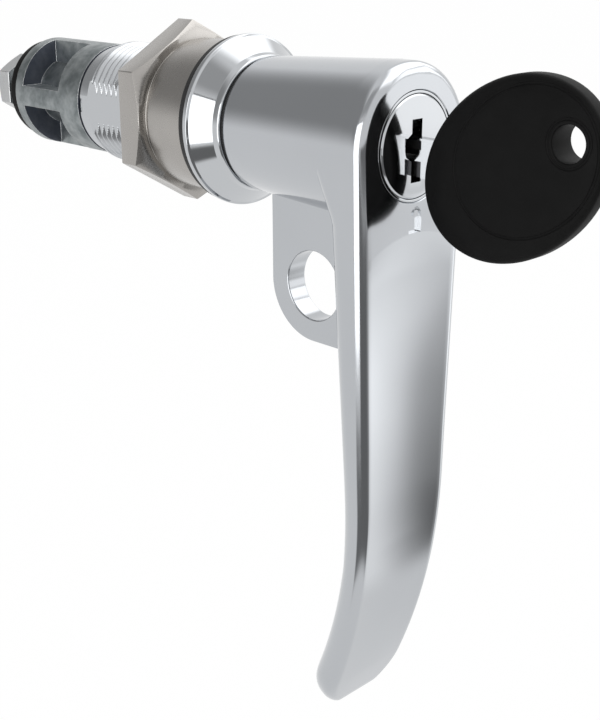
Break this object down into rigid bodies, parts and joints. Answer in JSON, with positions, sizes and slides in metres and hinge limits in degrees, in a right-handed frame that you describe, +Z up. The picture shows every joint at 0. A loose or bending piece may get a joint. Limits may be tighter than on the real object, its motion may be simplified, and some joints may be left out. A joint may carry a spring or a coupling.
{
  "type": "locking l-handle cam latch",
  "caption": "Quarter-turn L-handle cam latch: chromed lever with key lock and padlock eye, threaded barrel with nut, cast spindle that carries a cam.",
  "frame": {"origin": "on the latch's axis, in the rear plane of the bezel, where the door panel with its gasket is clamped", "axes": "+Y along the latch's axis into the cabinet, +Z up with the lever hanging down along -Z, +X to the right for someone who faces the handle"},
  "size_m": [0.03, 0.1464, 0.1228],
  "materials": {
    "chrome_housing": "polished chrome on cast zinc",
    "satin_chrome": "satin chrome on cast zinc",
    "plated_nut": "dull zinc plate",
    "raw_zinc": "raw mottled zinc casting",
    "steel": "plated steel",
    "nickel_silver": "stamped nickel silver",
    "black_rubber": "matt",
    "black_plastic": "fine matt grain"
  },
  "bodies": {
    "mounting": {"mounting_housing": "chrome_housing", "panel_gasket": "black_rubber", "mounting_nut": "plated_nut", "hub_seal": "black_rubber"},
    "handle": {"handle": "satin_chrome", "journal_o_ring": "black_rubber", "spindle": "raw_zinc", "drive_pin": "steel", "cam_washer": "black_plastic", "cam_screw": "steel", "lock_sleeve": "steel"},
    "plug": {"lock_plug": "chrome_housing", "wafers": "nickel_silver", "wafer_springs": "steel", "plug_clip": "steel", "lock_tail": "steel"},
    "bolt": {"lock_bolt": "steel", "bolt_pin": "steel"},
    "key": {"key_blade": "steel", "key_head": "black_plastic"}
  },
  "joints": [
    {"name": "handle_turn", "type": "hinge", "parent": "mounting", "child": "handle", "pos_m": [0, 0, 0], "axis": [0, 1, 0], "range_deg": [0, 90]},
    {"name": "plug_turn", "type": "hinge", "parent": "handle", "child": "plug", "pos_m": [0, -0.039, 0], "axis": [0, 1, 0], "range_deg": [0, 90]},
    {"name": "bolt_slide", "type": "slide", "parent": "handle", "child": "bolt", "axis": [0, 0, 1], "range_m": [0, 0.0018]},
    {"name": "key_pull", "type": "slide", "parent": "plug", "child": "key", "axis": [0, -1, 0], "range_m": [0, 0.026]}
  ],
  "couplings": [
    {"joint": "bolt_slide", "follows": "plug_turn", "m_per_rad": 0.0011459}
  ]
}
